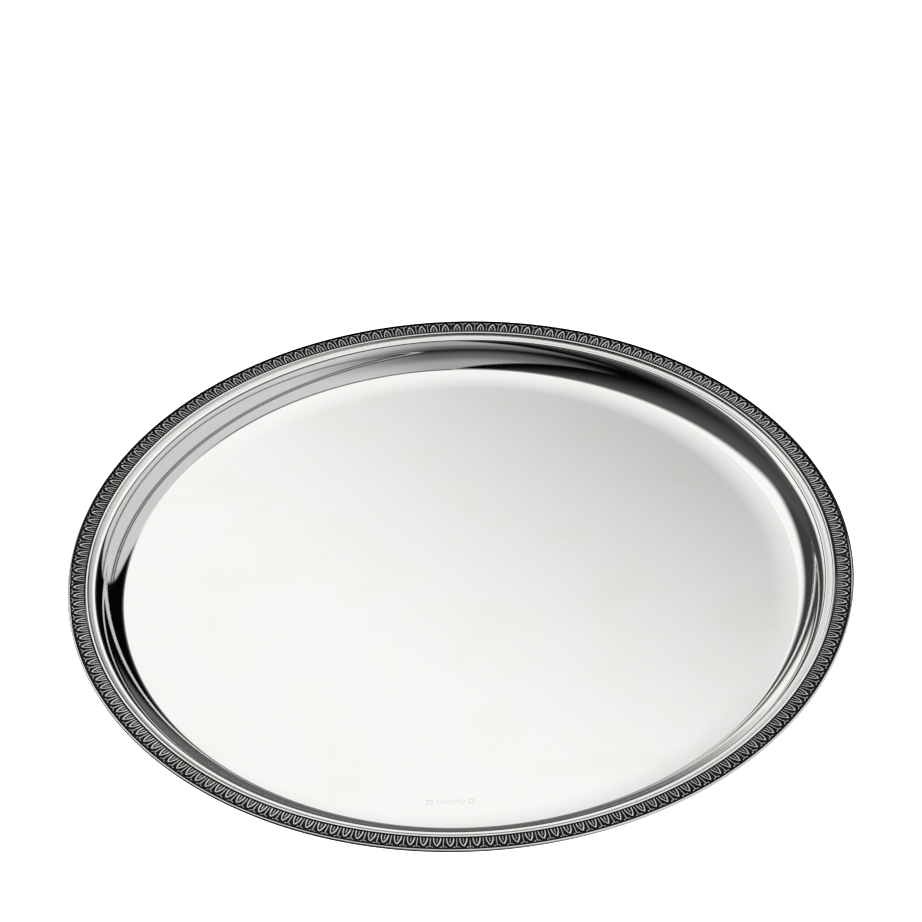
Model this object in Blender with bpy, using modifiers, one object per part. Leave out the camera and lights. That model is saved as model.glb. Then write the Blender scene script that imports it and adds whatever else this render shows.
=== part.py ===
"""A round silver-plated serving tray: a spun sheet pan with an applied leaf border.

Metres, +Z up. The origin is the middle of the flat underside that the tray stands on.
Every turned piece shares one axis, +Z, and one number of steps, so their facets line up.
"""

from math import cos, pi, radians, sin

import bmesh
import bpy

# Driving dimensions, in metres.
OUTER_RADIUS = 0.175
SHEET = 0.0012

# The well's wall is an ogee between two round corners, one at the floor and one at the flange.
# From the floor: the corner, a hollow that opens out to the steepest slope, and a round lip.
FLANGE_INNER = 0.1626
CORNER_SLOPE, STEEPEST = radians(28), radians(51)
FLOOR_CORNER, FLANGE_CORNER = 0.0018, 0.0013
HOLLOW_TIGHT, HOLLOW_WIDE = 0.0200, 0.02945
LIP_TIGHT, LIP_WIDE = 0.0090, 0.0140

# The border pieces stand side by side on the flange, with a film of solder between them.
SOLDER = 0.0001
BORDER_RISE = 0.0016
BEAD_INNER, BEAD_OUTER = 0.1651, 0.1667
FRIEZE_INNER, FRIEZE_OUTER = 0.1668, 0.1736
WIRE_INNER, WIRE_HEIGHT = 0.17375, 0.0028

# The leaf frieze comes in equal lengths, each with a whole number of leaves.
STRIPS = 4
LEAVES_PER_STRIP = 48
GROUND_DROP = 0.0004
LEAF_DROP = 0.00004
# Across the strip, from its inner edge: how far out each row of points lies, and how high a
# leaf's middle stands there. The rows are its edge, stalk, broadest part, tip and far edge.
ROW_REACH = (0.0, 0.1, 0.45, 0.88, 1.0)
ROW_RISE = (0.0, 0.8, 1.0, 0.35, 0.0)

TURN_STEPS = 96
CORNER_STEPS, HOLLOW_STEPS, LIP_STEPS = 2, 5, 3

POLISHED_SILVER = (0.93, 0.92, 0.90, 1.0)
DARKENED_SILVER = (0.62, 0.61, 0.58, 1.0)


def clear_scene():
    for thing in list(bpy.data.objects):
        bpy.data.objects.remove(thing, do_unlink=True)


def new_collection(name):
    collection = bpy.data.collections.new(name)
    bpy.context.scene.collection.children.link(collection)
    return collection


def silver(name, colour, roughness):
    material = bpy.data.materials.new(name)
    material.use_nodes = True
    shader = material.node_tree.nodes["Principled BSDF"]
    shader.inputs["Base Color"].default_value = colour
    shader.inputs["Metallic"].default_value = 1.0
    shader.inputs["Roughness"].default_value = roughness
    return material


def corner(radius, slope):
    """The run and rise, up to a slope, of a round corner that starts level."""
    return radius * sin(slope), radius * (1 - cos(slope))


def bend(tight, wide, slope):
    """The run and rise, from the corner's slope to this one, of a curve that opens out evenly."""
    growth = (wide - tight) / (STEEPEST - CORNER_SLOPE)
    radius = tight + growth * (slope - CORNER_SLOPE)
    run = radius * sin(slope) - tight * sin(CORNER_SLOPE) + growth * (cos(slope) - cos(CORNER_SLOPE))
    rise = tight * cos(CORNER_SLOPE) - radius * cos(slope) + growth * (sin(slope) - sin(CORNER_SLOPE))
    return run, rise


HOLLOW_START = corner(FLOOR_CORNER, CORNER_SLOPE)
LIP_START = corner(FLANGE_CORNER, CORNER_SLOPE)
HOLLOW_SPAN = bend(HOLLOW_TIGHT, HOLLOW_WIDE, STEEPEST)
LIP_SPAN = bend(LIP_TIGHT, LIP_WIDE, STEEPEST)
SPANS = (HOLLOW_START, HOLLOW_SPAN, LIP_SPAN, LIP_START)
FLOOR_RADIUS = FLANGE_INNER - sum(run for run, rise in SPANS)
FLANGE_TOP = SHEET + sum(rise for run, rise in SPANS)
BORDER_FOOT = FLANGE_TOP + SOLDER
HEIGHT = FLANGE_TOP + BORDER_RISE


def oval(radius, height, half_width, rise, start, end, steps):
    """Part of an oval round the point (radius, height) of a section, its angles in degrees."""
    angles = [radians(start + (end - start) * i / steps) for i in range(steps + 1)]
    return [(radius + half_width * cos(a), height + rise * sin(a)) for a in angles]


def turned(name, section, closed, material, collection):
    """The section, points of (radius, height), turned about +Z."""
    mesh = bpy.data.meshes.new(name)
    edges = [(i, i + 1) for i in range(len(section) - 1)]
    if closed:
        edges.append((len(section) - 1, 0))
    mesh.from_pydata([(radius, 0.0, height) for radius, height in section], edges, [])
    mesh.materials.append(material)
    piece = bpy.data.objects.new(name, mesh)
    collection.objects.link(piece)
    screw = piece.modifiers.new("Turn", "SCREW")
    screw.angle = 2 * pi
    screw.steps = screw.render_steps = TURN_STEPS
    screw.use_smooth_shade = True
    screw.use_merge_vertices = True
    screw.merge_threshold = 0.00001
    return piece


def slopes(start, end, steps):
    return [start + (end - start) * i / steps for i in range(steps)]


def wall_half(corner_radius, tight, wide, start, steps):
    """(run, rise) of the points from level to just below the steepest slope."""
    points = [corner(corner_radius, slope) for slope in slopes(0.0, CORNER_SLOPE, CORNER_STEPS)]
    for slope in slopes(CORNER_SLOPE, STEEPEST, steps):
        run, rise = bend(tight, wide, slope)
        points.append((start[0] + run, start[1] + rise))
    return points


def make_pan(collection):
    """The sheet's upper face, from the axis out: floor, hollow, lip and flange."""
    hollow = wall_half(FLOOR_CORNER, HOLLOW_TIGHT, HOLLOW_WIDE, HOLLOW_START, HOLLOW_STEPS)
    lip = wall_half(FLANGE_CORNER, LIP_TIGHT, LIP_WIDE, LIP_START, LIP_STEPS)
    middle = [piece + half for piece, half in zip(HOLLOW_START, HOLLOW_SPAN)]
    section = [(0.0, SHEET)]
    section += [(FLOOR_RADIUS + run, SHEET + rise) for run, rise in hollow + [middle]]
    section += [(FLANGE_INNER - run, FLANGE_TOP - rise) for run, rise in reversed(lip)]
    section.append((FRIEZE_OUTER, FLANGE_TOP))
    material = silver("pan_silver", POLISHED_SILVER, 0.1)
    pan = turned("tray_pan", section, False, material, collection)
    sheet = pan.modifiers.new("Sheet", "SOLIDIFY")
    sheet.thickness = SHEET
    sheet.offset = -1.0
    sheet.use_even_offset = True


def make_bead(collection):
    """The thin half-round wire along the frieze's inner side."""
    middle, half_width = (BEAD_INNER + BEAD_OUTER) / 2, (BEAD_OUTER - BEAD_INNER) / 2
    section = oval(middle, BORDER_FOOT, half_width, HEIGHT - BORDER_FOOT, 180, 0, 6)
    material = silver("bead_silver", POLISHED_SILVER, 0.08)
    turned("inner_bead_wire", section, True, material, collection)


def make_edge_wire(collection):
    """The wire round the tray's edge: its flat side covers the cut edge of the sheet."""
    width, half_height = OUTER_RADIUS - WIRE_INNER, WIRE_HEIGHT / 2
    section = oval(WIRE_INNER, HEIGHT - half_height, width, half_height, 90, -90, 6)
    material = silver("edge_silver", POLISHED_SILVER, 0.08)
    turned("outer_edge_wire", section, True, material, collection)


def make_frieze_strip(number, material, collection):
    """One length of the frieze: a curved strip with a row of pointed leaves standing on it."""
    columns, rows = 2 * LEAVES_PER_STRIP, len(ROW_REACH) - 1
    width, rise = FRIEZE_OUTER - FRIEZE_INNER, GROUND_DROP - LEAF_DROP
    sweep, end_gap = 2 * pi / STRIPS, SOLDER / FRIEZE_INNER
    bm = bmesh.new()
    bmesh.ops.create_grid(bm, x_segments=columns, y_segments=rows, size=0.5)
    for vert in bm.verts:
        column = round((vert.co.x + 0.5) * columns)
        row = round((vert.co.y + 0.5) * rows)
        radius = FRIEZE_INNER + width * ROW_REACH[row]
        # Columns run clockwise, so that the strip's face looks up.
        angle = sweep * number + end_gap / 2 + (sweep - end_gap) * (1 - column / columns)
        # Odd columns run up the middle of a leaf, and even ones lie between two.
        height = HEIGHT - GROUND_DROP + rise * ROW_RISE[row] * (column % 2)
        vert.co = (radius * cos(angle), radius * sin(angle), height)
    copied = bmesh.ops.extrude_face_region(bm, geom=list(bm.faces), use_keep_orig=True)["geom"]
    for vert in [part for part in copied if isinstance(part, bmesh.types.BMVert)]:
        vert.co.z = BORDER_FOOT
    foot = [part for part in copied if isinstance(part, bmesh.types.BMFace)]
    bmesh.ops.dissolve_faces(bm, faces=foot)
    bmesh.ops.recalc_face_normals(bm, faces=bm.faces)
    name = f"frieze_strip_{number + 1}"
    mesh = bpy.data.meshes.new(name)
    bm.to_mesh(mesh)
    bm.free()
    mesh.materials.append(material)
    collection.objects.link(bpy.data.objects.new(name, mesh))


def make_frieze(collection):
    material = silver("frieze_silver", DARKENED_SILVER, 0.35)
    for number in range(STRIPS):
        make_frieze_strip(number, material, collection)


def main():
    clear_scene()
    collection = new_collection("serving_tray")
    make_pan(collection)
    make_bead(collection)
    make_frieze(collection)
    make_edge_wire(collection)


main()
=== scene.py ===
from math import cos, pi, radians, sin

import bpy
import numpy as np
from mathutils import Matrix, Vector


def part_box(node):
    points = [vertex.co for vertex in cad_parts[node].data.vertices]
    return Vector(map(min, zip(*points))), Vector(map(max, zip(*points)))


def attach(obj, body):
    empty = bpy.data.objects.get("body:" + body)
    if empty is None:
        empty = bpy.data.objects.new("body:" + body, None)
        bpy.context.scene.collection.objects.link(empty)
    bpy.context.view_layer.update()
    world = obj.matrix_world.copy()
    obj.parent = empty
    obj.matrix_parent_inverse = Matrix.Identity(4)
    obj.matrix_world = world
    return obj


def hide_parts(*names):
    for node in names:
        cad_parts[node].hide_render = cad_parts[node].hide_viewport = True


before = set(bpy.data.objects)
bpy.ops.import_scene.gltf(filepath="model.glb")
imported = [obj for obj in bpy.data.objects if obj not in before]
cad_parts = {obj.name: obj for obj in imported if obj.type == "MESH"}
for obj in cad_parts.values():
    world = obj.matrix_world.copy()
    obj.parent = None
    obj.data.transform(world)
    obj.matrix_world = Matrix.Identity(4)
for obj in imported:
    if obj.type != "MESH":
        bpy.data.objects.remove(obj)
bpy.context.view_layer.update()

# ---- Sizes, in metres. The outer sizes come from the fixed frame. ----

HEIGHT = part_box("frieze_strip_1")[1].z
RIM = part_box("outer_edge_wire")[1].z
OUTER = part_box("outer_edge_wire")[1].x
FLANGE_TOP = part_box("tray_pan")[1].z
BEAD_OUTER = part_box("inner_bead_wire")[1].x
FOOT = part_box("inner_bead_wire")[0].z
SHEET = 0.0012

# The wall, from the flange in: a tight corner, a lip, a hollow and the floor's corner.
FLANGE_INNER, FLANGE_CORNER = 0.1626, 0.0013
WALL_START, STEEPEST = radians(28), radians(51)
LIP_TIGHT, LIP_WIDE = 0.0090, 0.0140
HOLLOW_TIGHT, HOLLOW_WIDE = 0.0200, 0.029453
FLOOR_CORNER = 0.0018
DISH, DISH_WIDTH = 0.0002, 0.0120

# The border on the flange, from the inside out. The leaves' ground lies GROUND_DROP below their tops.
BEAD_INNER = 0.1651
SOLDER_REACH, SOLDER_RISE = 0.0016, 0.0003
FRIEZE_INNER, FRIEZE_OUTER = 0.1668, 0.1736
FRIEZE_WIDTH_MM = (FRIEZE_OUTER - FRIEZE_INNER) * 1000
WIRE_INNER, WIRE_HEIGHT = 0.17375, 0.0028
GROUND_DROP = 0.0005
STRIPS, LEAVES_PER_STRIP = 4, 48
STRIP_GAP = 0.0001

# The row of punches: half the size of a square and of a lozenge, and how far in front they lie.
SQUARE, LOZENGE = 0.0011, 0.0013
PUNCH_FRONT = 0.1342

# The bevel along the sheet's cut edge, and a hair that keeps two faces out of one plane.
SHEET_BEVEL = 0.00015
HAIR = 0.00002

# Polished silver, the black of the painted dark lines (painted shade and reflection), and the leaves'
# dark ground (old polish and oxide, with painted shade).
BRIGHT = (0.955, 0.95, 0.94, 1)
SHADE_LINE_BLACK = (0.012, 0.012, 0.012, 1)
GROUND_OXIDE_AND_SHADE_BLACK = (0.018, 0.018, 0.018, 1)
DARK_ROUGHNESS, SOLDER_ROUGHNESS = 0.5, 0.35

TURN_STEPS = 720
LEAF_COLUMNS, LEAF_ROWS = ((40, 46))


# ---- Node graphs ----


class Graph:
    """Short calls for building a node tree. Any number given may be a socket instead."""

    def __init__(self, tree):
        self.tree = tree

    def node(self, kind, **settings):
        made = self.tree.nodes.new(kind)
        for key, value in settings.items():
            setattr(made, key, value)
        return made

    def feed(self, socket, value):
        if isinstance(value, bpy.types.NodeSocket):
            self.tree.links.new(value, socket)
        else:
            socket.default_value = value

    def math(self, operation, *values, clamp=False):
        made = self.node("ShaderNodeMath", operation=operation, use_clamp=clamp)
        for socket, value in zip(made.inputs, values):
            self.feed(socket, value)
        return made.outputs[0]

    def smooth(self, value, start, end, low=0.0, high=1.0):
        """low before start, high after end, and a smooth rise between them."""
        made = self.node("ShaderNodeMapRange", interpolation_type="SMOOTHSTEP")
        for socket, number in zip(made.inputs, (value, start, end, low, high)):
            self.feed(socket, number)
        return made.outputs[0]

    def mix(self, share, first, second):
        made = self.node("ShaderNodeMix", data_type="FLOAT")
        self.feed(made.inputs[0], share)
        self.feed(made.inputs[2], first)
        self.feed(made.inputs[3], second)
        return made.outputs[0]

    def mix_colour(self, share, first, second):
        made = self.node("ShaderNodeMix", data_type="RGBA")
        self.feed(made.inputs[0], share)
        self.feed(made.inputs[6], first)
        self.feed(made.inputs[7], second)
        return made.outputs[2]

    def mapped(self, vector, turn=0.0, scale=(1, 1, 1)):
        made = self.node("ShaderNodeMapping")
        self.feed(made.inputs["Vector"], vector)
        made.inputs["Rotation"].default_value = (0, 0, turn)
        made.inputs["Scale"].default_value = scale
        return made.outputs[0]

    def split(self, vector):
        made = self.node("ShaderNodeSeparateXYZ")
        self.feed(made.inputs[0], vector)
        return made.outputs

    def radius(self, place):
        """How far a place is from the tray's axis."""
        made = self.node("ShaderNodeVectorMath", operation="LENGTH")
        self.feed(made.inputs[0], self.mapped(place, 0.0, (1, 1, 0)))
        return made.outputs["Value"]

    def off(self, value, middle):
        """How far a value is from the middle, either way."""
        return self.math("ABSOLUTE", self.math("SUBTRACT", value, middle))

    def noise(self, vector, scale, detail=2.0, roughness=0.5, distortion=0.0):
        made = self.node("ShaderNodeTexNoise")
        self.feed(made.inputs["Vector"], vector)
        made.inputs["Scale"].default_value = scale
        made.inputs["Detail"].default_value = detail
        made.inputs["Roughness"].default_value = roughness
        made.inputs["Distortion"].default_value = distortion
        return made.outputs[0]


# ---- Silver ----


def scratches(graph, place, directions, fineness, share):
    """Fine straight hairlines in a few directions: 1 on a line, 0 off it."""
    found = 0.0
    for turn in directions:
        streak = graph.noise(
            graph.mapped(place, turn, (fineness, fineness / 45, 1)), 1.0, 2.0, 0.6
        )
        line = graph.smooth(streak, 1 - share, 1 - share + 0.06)
        found = graph.math("MAXIMUM", found, line)
    return found


def fed(shader, name):
    """What already feeds one of the shader's inputs."""
    return shader.inputs[name].links[0].from_socket


def silver(name, base, tarnish, roughness, smudge, scratch, bump):
    """Polished silver plate: soft wipe marks, fine hairlines and a little tarnish."""
    material = bpy.data.materials.new(name)
    material.use_nodes = True
    graph = Graph(material.node_tree)
    shader = material.node_tree.nodes["Principled BSDF"]
    shader.inputs["Metallic"].default_value = 1.0
    place = graph.node("ShaderNodeTexCoord").outputs["Object"]
    cloud = graph.noise(place, 22.0, 4.0, 0.6, 0.4)
    wiped = graph.noise(graph.mapped(place, 0.6, (9, 30, 9)), 1.0, 3.0, 0.55, 0.6)
    lines = scratches(graph, place, (0.3, 1.25, 2.2, 2.9), 2600, 0.34)
    stained = graph.smooth(cloud, 0.45, 0.8)
    graph.feed(shader.inputs["Base Color"], graph.mix_colour(stained, base, tarnish))
    rough = graph.math("ADD", roughness, graph.smooth(wiped, 0.45, 0.75, 0.0, smudge))
    rough = graph.math("ADD", rough, graph.math("MULTIPLY", lines, scratch))
    graph.feed(shader.inputs["Roughness"], rough)
    bumps = graph.node("ShaderNodeBump")
    bumps.inputs["Strength"].default_value = bump
    bumps.inputs["Distance"].default_value = 0.00002
    graph.feed(bumps.inputs["Height"], graph.math("SUBTRACT", 1.0, lines))
    graph.feed(shader.inputs["Normal"], bumps.outputs[0])
    return material, graph, shader, place


def paint_dark_lines(graph, place, shader, shares, lowest=0.0):
    """Painted dark lines at given radii, standing in for shade and reflection: (radius, fully dark
    within, unpainted beyond) for each.
    """
    radius, height = graph.radius(place), graph.split(place)[2]
    dark = 0.0
    for middle, core, reach in shares:
        # Each ring is a painted dark line of shade and reflection.
        dark_line = graph.smooth(graph.off(radius, middle), core, reach, 1.0, 0.0)
        dark = graph.math("MAXIMUM", dark, dark_line)
    dark = graph.math("MULTIPLY", dark, graph.math("GREATER_THAN", height, lowest))
    colour = graph.mix_colour(dark, fed(shader, "Base Color"), SHADE_LINE_BLACK)
    graph.feed(shader.inputs["Base Color"], colour)
    rough = graph.mix(dark, fed(shader, "Roughness"), DARK_ROUGHNESS)
    graph.feed(shader.inputs["Roughness"], rough)


def punch_marks(graph, place):
    """A row of small plain punches near the front of the floor: 1 on a mark's outline."""
    x, y, z = graph.split(place)
    upper = graph.math("GREATER_THAN", z, SHEET / 2)
    along = graph.math("ABSOLUTE", graph.math("ADD", y, PUNCH_FRONT))
    found = 0.0
    for middle, half, measure in (
        (-0.0165, SQUARE, "MAXIMUM"),
        (-0.0125, LOZENGE, "ADD"),
        (-0.0093, LOZENGE, "ADD"),
        (-0.0061, LOZENGE, "ADD"),
        (-0.0029, LOZENGE, "ADD"),
        (0.0010, SQUARE, "MAXIMUM"),
    ):
        reach = graph.math(measure, graph.off(x, middle), along)
        line = graph.smooth(graph.off(reach, half), 0.0001, 0.0003, 1.0, 0.0)
        found = graph.math("MAXIMUM", found, graph.math("MULTIPLY", upper, line))
    return found


def make_pan_silver():
    """Mirror polish, with the punches, and a dark line in the corner where the flange starts: painted
    shade in the crease, with some oxide.
    """
    material, graph, shader, place = silver(
        "pan_silver_look", BRIGHT, (0.93, 0.92, 0.9, 1), 0.035, 0.03, 0.03, 0.06
    )
    marks = graph.math("MULTIPLY", punch_marks(graph, place), 0.45)
    marked = graph.mix_colour(marks, fed(shader, "Base Color"), (0.45, 0.45, 0.45, 1))
    graph.feed(shader.inputs["Base Color"], marked)
    # Painted shade, with some oxide, along the crease where the wall meets the flange.
    paint_dark_lines(graph, place, shader, ((FLANGE_INNER - FLANGE_CORNER / 2, 0.00012, 0.00027),))
    return material


def make_moulding_silver():
    """Polished wire with painted dark lines along the tops of its edges (painted shade and
    reflection), and with solder beside the bead that was left duller.
    """
    material, graph, shader, place = silver(
        "moulding_silver_look", BRIGHT, (0.9, 0.89, 0.86, 1), 0.05, 0.05, 0.06, 0.1
    )
    # Painted shade and reflection: dark lines on the wires' tops near their edges.
    edges = (
        (BEAD_INNER + 0.00028, 0.00005, 0.00015),
        (BEAD_OUTER, 0.0002, 0.00035),
        (WIRE_INNER, 0.00018, 0.0003),
    )
    paint_dark_lines(graph, place, shader, edges, HEIGHT - 0.00055)
    low = graph.smooth(graph.split(place)[2], HEIGHT - 0.0007, HEIGHT - 0.0005, 1.0, 0.0)
    inner = graph.math("LESS_THAN", graph.radius(place), BEAD_INNER + 0.0002)
    solder = graph.math("MULTIPLY", low, inner)
    rough = graph.mix(solder, fed(shader, "Roughness"), SOLDER_ROUGHNESS)
    graph.feed(shader.inputs["Roughness"], rough)
    return material


def make_frieze_silver():
    """Bright where the relief is rubbed, and near black low down: old polish and oxide, with painted
    shade in the recesses.
    """
    material, graph, shader, place = silver(
        "frieze_silver_look", (0.93, 0.925, 0.91, 1), (0.8, 0.79, 0.76, 1), 0.13, 0.08, 0.08, 0.2
    )
    # Painted shade with old polish and oxide: the ground darkens by height below the relief's tops.
    patchy = graph.smooth(graph.noise(place, 900.0, 3.0, 0.6), 0.3, 0.7, -0.00005, 0.00005)
    level = graph.math("ADD", graph.split(place)[2], patchy)
    raised = graph.smooth(level, HEIGHT - 0.00032, HEIGHT - 0.0001)
    colour = graph.mix_colour(raised, GROUND_OXIDE_AND_SHADE_BLACK, fed(shader, "Base Color"))
    graph.feed(shader.inputs["Base Color"], colour)
    rough = graph.mix(raised, DARK_ROUGHNESS, fed(shader, "Roughness"))
    graph.feed(shader.inputs["Roughness"], rough)
    return material


# ---- Turned pieces ----


def arc(radius, start, end, steps):
    """(run, rise, slope) along a round arc from one slope to another, without its first point."""
    slopes = [start + (end - start) * i / steps for i in range(1, steps + 1)]
    return [(radius * (sin(s) - sin(start)), radius * (cos(start) - cos(s)), s) for s in slopes]


def opening(tight, wide, steps):
    """The same from the wall's first slope to its steepest, on a radius that grows evenly."""
    first, turn = WALL_START, STEEPEST - WALL_START
    growth = (wide - tight) / turn
    points = []
    for i in range(1, steps + 1):
        slope = first + turn * i / steps
        radius = tight + growth * (slope - first)
        run = radius * sin(slope) - tight * sin(first) + growth * (cos(slope) - cos(first))
        rise = tight * cos(first) - radius * cos(slope) + growth * (sin(slope) - sin(first))
        points.append((run, rise, slope))
    return points


def joined(*curves):
    """The curves end to end, from (0, 0)."""
    points, run, rise = [], 0.0, 0.0
    for curve in curves:
        points += [(run + r, rise + z, s) for r, z, s in curve]
        run, rise = run + curve[-1][0], rise + curve[-1][1]
    return points


def pan_section():
    """The sheet's section: its upper face from the axis out, and its lower face back in."""
    inward = joined(arc(FLANGE_CORNER, 0.0, WALL_START, 14), opening(LIP_TIGHT, LIP_WIDE, 20))
    outward = joined(arc(FLOOR_CORNER, 0.0, WALL_START, 12), opening(HOLLOW_TIGHT, HOLLOW_WIDE, 38))
    floor_radius = FLANGE_INNER - inward[-1][0] - outward[-1][0]
    # The floor's outermost part lifts very slightly before the corner.
    face = [(radius, SHEET - DISH, 0.0) for radius in (0.0, 0.04, 0.09, 0.125)]
    flat, steps = floor_radius - DISH_WIDTH, 16
    for i in range(steps + 1):
        share = i / steps
        face.append((flat + DISH_WIDTH * share, SHEET - DISH * (1 - share**2), 0.0))
    face += [(floor_radius + run, SHEET + rise, s) for run, rise, s in outward]
    face += [(FLANGE_INNER - run, FLANGE_TOP - rise, s) for run, rise, s in inward[-2::-1]]
    for radius in (FLANGE_INNER, 0.1650, 0.169, FRIEZE_OUTER - SHEET_BEVEL):
        face.append((radius, FLANGE_TOP, 0.0))
    under = [(r + SHEET * sin(s), max(z - SHEET * cos(s), 0.0)) for r, z, s in face]
    top, bottom = FLANGE_TOP - SHEET_BEVEL, FLANGE_TOP - SHEET + SHEET_BEVEL
    edge = [(FRIEZE_OUTER, top), (FRIEZE_OUTER, bottom)]
    return [(r, z) for r, z, s in face] + edge + under[::-1]


def oval(radius, height, half_width, rise, start, end, steps):
    """Points along part of an ellipse about a middle, from one angle in degrees to another."""
    angles = [radians(start + (end - start) * i / steps) for i in range(steps + 1)]
    return [(radius + half_width * cos(a), height + rise * sin(a)) for a in angles]


def bead_section():
    """A half-round wire on straight sides, with a low slope of solder along its inner one."""
    middle, half_width = (BEAD_INNER + BEAD_OUTER) / 2, (BEAD_OUTER - BEAD_INNER) / 2
    spring, start, steps = HEIGHT - half_width * 0.75, BEAD_INNER - SOLDER_REACH, 10
    section = []
    for i in range(steps + 1):
        share = i / steps
        section.append((start + SOLDER_REACH * share, FLANGE_TOP + SOLDER_RISE * share**1.3))
    section += oval(middle, spring, half_width, HEIGHT - spring, 180, 0, 22)
    return section + [(BEAD_OUTER, FLANGE_TOP - HAIR), (start, FLANGE_TOP - HAIR)]


def edge_section():
    """A half-oval wire, round side out."""
    half = WIRE_HEIGHT / 2
    return oval(WIRE_INNER, RIM - half, OUTER - WIRE_INNER, half, 90, -90, 26)


def turned(name, section, closed):
    """A section, points of (radius, height) with the solid on the right, turned about +Z."""
    points, rings = [], []
    for radius, height in section:
        start = len(points)
        steps = TURN_STEPS if radius > 1e-6 else 1
        for k in range(steps):
            angle = 2 * pi * k / steps
            points.append((radius * cos(angle), radius * sin(angle), height))
        rings.append([start + k % steps for k in range(TURN_STEPS + 1)])
    faces = []
    pairs = list(zip(rings, rings[1:])) + ([(rings[-1], rings[0])] if closed else [])
    for inner, outer in pairs:
        for k in range(TURN_STEPS):
            face = (inner[k], outer[k], outer[k + 1], inner[k + 1])
            faces.append(tuple(dict.fromkeys(face)))
    return new_piece(name, points, faces, 50)


def new_piece(name, points, faces, sharp):
    """A smooth-shaded object, with the edges past this many degrees kept sharp."""
    mesh = bpy.data.meshes.new(name)
    mesh.from_pydata(points, [], faces)
    mesh.polygons.foreach_set("use_smooth", [True] * len(mesh.polygons))
    mesh.set_sharp_from_angle(angle=radians(sharp))
    piece = bpy.data.objects.new(name, mesh)
    bpy.context.scene.collection.objects.link(piece)
    return piece


# ---- The leaf border ----


def band(distance, width):
    """1 within about this width, falling quickly to 0 beyond it."""
    return np.exp(-((distance / width) ** 4))


def stroke(x, y, start, end, width):
    """A straight rounded ridge from one point to another."""
    x, y = x - start[0], y - start[1]
    right, up = end[0] - start[0], end[1] - start[1]
    share = np.clip((x * right + y * up) / (right**2 + up**2), 0, 1)
    return band(np.hypot(x - share * right, y - share * up), width)


def leaf_relief(x, y, pitch):
    """The height, 0 to 1, at x mm from a leaf's middle line and y mm from the inner edge."""
    x = np.abs(x)
    gap = pitch / 2 - x
    length, half = 5.2, 1.47
    reach = np.clip((y + 0.1) / length, 0, 1)
    edge = half * (1 - reach**2.6)
    slope = np.abs(np.gradient(edge[0], y[0]))
    away = (x - edge) / np.sqrt(1 + slope**2)
    outline = band(away, 0.36) * (y < length)
    blade = 0.12 * (x < edge) * (y < length - 0.3)
    rib = 0.8 * stroke(x, y, (0, 0.4), (0, 2.9), 0.24)
    buds = 0.45 * stroke(x, y, (0.66, 0.5), (0.55, 2.0), 0.2)
    dart = 0.9 * stroke(gap, y, (0, 0.4), (0, 5.1), 0.25)
    ball = 0.95 * band(np.hypot(gap, y - 5.3), 0.42)
    leaflet = 0.8 * stroke(gap, y, (0.65, 5.45), (1.35, 5.85), 0.26)
    height = np.maximum.reduce((outline, blade, rib, buds, dart, ball, leaflet))
    inner_margin = np.clip((y - 0.2) / 0.25, 0, 1)
    outer_margin = np.clip((FRIEZE_WIDTH_MM - 0.3 - y) / 0.2, 0, 1)
    return height * inner_margin * outer_margin


def make_strip(number):
    """One length of the border, a quarter of the way round, as a closed solid."""
    pitch_angle = 2 * pi / (STRIPS * LEAVES_PER_STRIP)
    end_gap = STRIP_GAP / FRIEZE_INNER
    start = 2 * pi / STRIPS * number + end_gap / 2
    sweep = 2 * pi / STRIPS - end_gap
    columns = LEAVES_PER_STRIP * LEAF_COLUMNS
    angles = start + sweep * np.arange(columns + 1) / columns
    out = np.arange(LEAF_ROWS + 1) / LEAF_ROWS * FRIEZE_WIDTH_MM
    phase = (angles / pitch_angle) % 1 - 0.5
    pitch = pitch_angle * (FRIEZE_INNER + FRIEZE_OUTER) / 2 * 1000
    x, y = np.meshgrid(phase * pitch, out, indexing="ij")
    height = leaf_relief(x, y, pitch)
    low, top = HEIGHT - GROUND_DROP, HEIGHT - HAIR
    wobble = 0.04 * np.sin(angles * 61.0 + 1.3) * np.sin(angles * 23.7)
    z = low + (top - low) * np.clip(height * (1 + wobble[:, None]), 0, 1)
    radius = FRIEZE_INNER + out / 1000
    section = len(out) + 2
    points = np.empty((columns + 1, section, 3))
    rows = np.concatenate([[radius[0]], radius, [radius[-1]]])
    points[:, :, 0] = np.cos(angles)[:, None] * rows
    points[:, :, 1] = np.sin(angles)[:, None] * rows
    points[:, 1:-1, 2] = z
    points[:, (0, -1), 2] = FOOT
    faces = []
    for i in range(columns):
        for j in range(section):
            a, b = i * section + j, i * section + (j + 1) % section
            faces.append((a, b, b + section, a + section))
    faces.append(tuple(range(section - 1, -1, -1)))
    faces.append(tuple(range(columns * section, (columns + 1) * section)))
    name = f"frieze_strip_{number + 1}_relief"
    return new_piece(name, points.reshape(-1, 3).tolist(), faces, 65)


# ---- Pieces ----


def show(piece, node, material):
    """Shows this piece in place of the frame's node."""
    piece.data.materials.append(material)
    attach(piece, "root")
    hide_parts(node)


def make_pieces():
    pan = turned("pan_polished", pan_section(), False)
    show(pan, "tray_pan", make_pan_silver())
    moulding = make_moulding_silver()
    bead = turned("bead_polished", bead_section(), True)
    show(bead, "inner_bead_wire", moulding)
    wire = turned("edge_polished", edge_section(), True)
    show(wire, "outer_edge_wire", moulding)
    frieze = make_frieze_silver()
    for number in range(STRIPS):
        show(make_strip(number), f"frieze_strip_{number + 1}", frieze)


# ---- The studio ----


def tone(value):
    """A screen grey of 0 to 255 as a light strength, before the silver's own loss."""
    value /= 255
    return (value / 12.92 if value < 0.04045 else ((value + 0.055) / 1.055) ** 2.4) / 0.955


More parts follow.
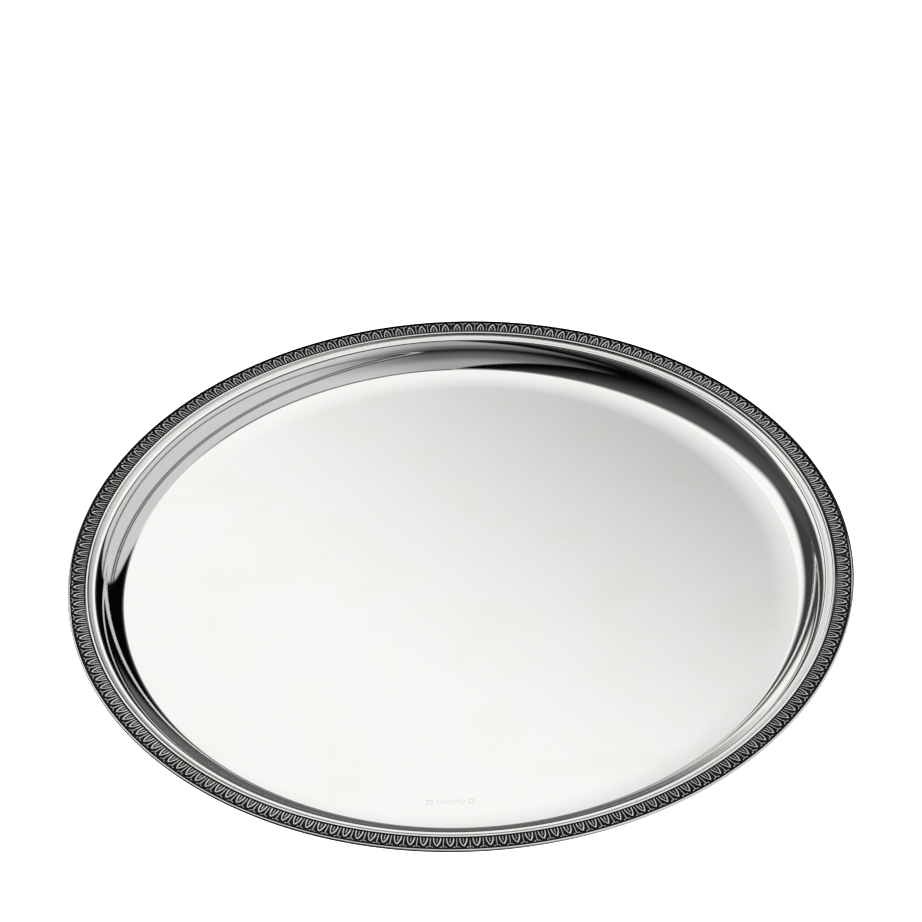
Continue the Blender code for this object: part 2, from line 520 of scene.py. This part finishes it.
def make_world():
    """Soft studio panels all round, each bounded by a circle about its own direction."""
    world = bpy.data.worlds.new("studio")
    bpy.context.scene.world = world
    world.use_nodes = True
    graph = Graph(world.node_tree)
    way = graph.node("ShaderNodeTexCoord").outputs["Generated"]
    right, back, up = graph.split(way)
    bearing = graph.math("DEGREES", graph.math("ARCTAN2", right, back))
    rise = graph.math("DEGREES", graph.math("ARCSINE", up))

    def from_centre(azimuth, elevation):
        """Degrees between the direction and one at this azimuth from +X and elevation."""
        a, e = radians(azimuth), radians(elevation)
        dot = graph.node("ShaderNodeVectorMath", operation="DOT_PRODUCT")
        graph.feed(dot.inputs[0], way)
        dot.inputs[1].default_value = (cos(e) * cos(a), cos(e) * sin(a), sin(e))
        return graph.math("DEGREES", graph.math("ARCCOSINE", dot.outputs["Value"]))

    def line(value, at, width):
        """1 on a line of this width where the value is at its place, and 0 off it."""
        return graph.smooth(graph.off(value, at), width * 0.3, width, 1.0, 0.0)

    def all_of(*masks):
        found = masks[0]
        for mask in masks[1:]:
            found = graph.math("MULTIPLY", found, mask)
        return found

    white = tone(248)
    right_side = graph.smooth(bearing, -2, 2)
    # The sweep darkens towards its foot: softly behind, black to the right, grey to the left.
    pool = graph.smooth(from_centre(70, 15), 24.5, 34, 1.0, 0.0)
    sweep = graph.mix(pool, white, tone(98))
    foot_left = graph.smooth(from_centre(25.9, 67.5), 74, 83)
    foot_left = all_of(foot_left, graph.smooth(bearing, -16, -6, 1.0, 0.0))
    sweep = graph.mix(foot_left, sweep, tone(60))
    blot = graph.smooth(from_centre(167.7, 36.0), 83, 94)
    blot = all_of(blot, graph.smooth(bearing, 44.2, 45.4, 1.0, 0.0), right_side)
    # Left of the sweep: dark grey, then black, then the lit side of the camera's own area.
    lean = graph.math("MULTIPLY", graph.math("SUBTRACT", rise, 45.0), 0.9)
    turned_left = graph.math("SUBTRACT", graph.math("MULTIPLY", bearing, -1.0), lean)
    left = graph.smooth(turned_left, 80, 130, tone(80), tone(5))
    hidden = from_centre(179.4, 61.9)
    lit = all_of(graph.smooth(hidden, 29.0, 30.2), graph.smooth(bearing, -128, -122, 1.0, 0.0))
    lit = all_of(lit, graph.smooth(rise, 36, 41))
    # The camera's own area: dim low down and lighter overhead.
    behind = graph.smooth(rise, 38, 49, tone(37), tone(100))
    behind = graph.mix(graph.smooth(rise, 49, 66), behind, tone(162))
    left = graph.mix(lit, left, behind)
    # Right of the sweep: a light grey wall, crossed by one dark strip with a bright middle.
    wall = graph.mix(graph.smooth(bearing, 122, 176), tone(204), behind)
    strip = from_centre(140.4, 47.4)
    wall = graph.mix(line(strip, 86.7, 3.6), wall, tone(25))
    wall = graph.mix(line(strip, 86.7, 1.1), wall, tone(180))
    # The white sweep overhead and behind, and its two edges.
    left_share = graph.smooth(from_centre(75.4, 31.3), 63, 71)
    left_sky = graph.mix(left_share, sweep, left)
    right_edge = from_centre(85.4, 65.2)
    right_share = all_of(graph.smooth(right_edge, 32.0, 33.8), graph.smooth(bearing, 36, 50))
    right_sky = graph.mix(right_share, sweep, wall)
    streak = all_of(line(right_edge, 33.6, 2.4), graph.smooth(bearing, 60, 78))
    right_sky = graph.mix(graph.math("MULTIPLY", streak, 0.85), right_sky, tone(50))
    right_sky = graph.mix(blot, right_sky, tone(4))
    sky = graph.mix(right_side, left_sky, right_sky)
    colour = graph.node("ShaderNodeCombineColor")
    for socket, tint in zip(colour.inputs, (1.0, 0.996, 0.988)):
        graph.feed(socket, graph.math("MULTIPLY", sky, tint))
    background = world.node_tree.nodes["Background"]
    graph.feed(background.inputs["Color"], colour.outputs[0])
    background.inputs["Strength"].default_value = 1.0


def make_floor():
    """A plain pale floor, evenly lit from overhead."""
    mesh = bpy.data.meshes.new("studio_floor")
    side = 30.0
    mesh.from_pydata(
        [(-side, -side, 0), (side, -side, 0), (side, side, 0), (-side, side, 0)], [], [(0, 1, 2, 3)]
    )
    floor = bpy.data.objects.new("studio_floor", mesh)
    bpy.context.scene.collection.objects.link(floor)
    material = bpy.data.materials.new("studio_white")
    material.use_nodes = True
    shader = material.node_tree.nodes["Principled BSDF"]
    shader.inputs["Base Color"].default_value = (0.55, 0.55, 0.55, 1)
    shader.inputs["Emission Color"].default_value = (1, 1, 1, 1)
    shader.inputs["Emission Strength"].default_value = 0.8
    shader.inputs["Roughness"].default_value = 0.9
    shader.inputs["Specular IOR Level"].default_value = 0.0
    mesh.materials.append(material)
    light = bpy.data.lights.new("overhead", "SUN")
    light.energy = 7.0
    light.angle = radians(40)
    lamp = bpy.data.objects.new("overhead", light)
    lamp.visible_glossy = False
    bpy.context.scene.collection.objects.link(lamp)


def make_camera():
    """A long lens, in front of the tray and above it, turned a little about its own axis."""
    elevation, distance, roll = radians(42.18), 2.0685, radians(-2.053)
    stand = Vector((0, -distance * cos(elevation), distance * sin(elevation) + HEIGHT))
    aim = Vector((0.0022, 0.0730, HEIGHT))
    ahead = (aim - stand).normalized()
    right = ahead.cross(Vector((0, 0, 1))).normalized()
    up = right.cross(ahead)
    across = right * cos(roll) + up * sin(roll)
    above = up * cos(roll) - right * sin(roll)
    data = bpy.data.cameras.new("camera")
    data.sensor_width = 36
    data.lens = 181.7
    camera = bpy.data.objects.new("camera", data)
    turn = Matrix((across, above, -ahead)).transposed().to_4x4()
    camera.matrix_world = Matrix.Translation(stand) @ turn
    bpy.context.scene.collection.objects.link(camera)
    bpy.context.scene.camera = camera


make_pieces()
make_world()
make_floor()
make_camera()
bpy.context.scene.view_settings.view_transform = "Standard"
bpy.context.scene.view_settings.look = "None"
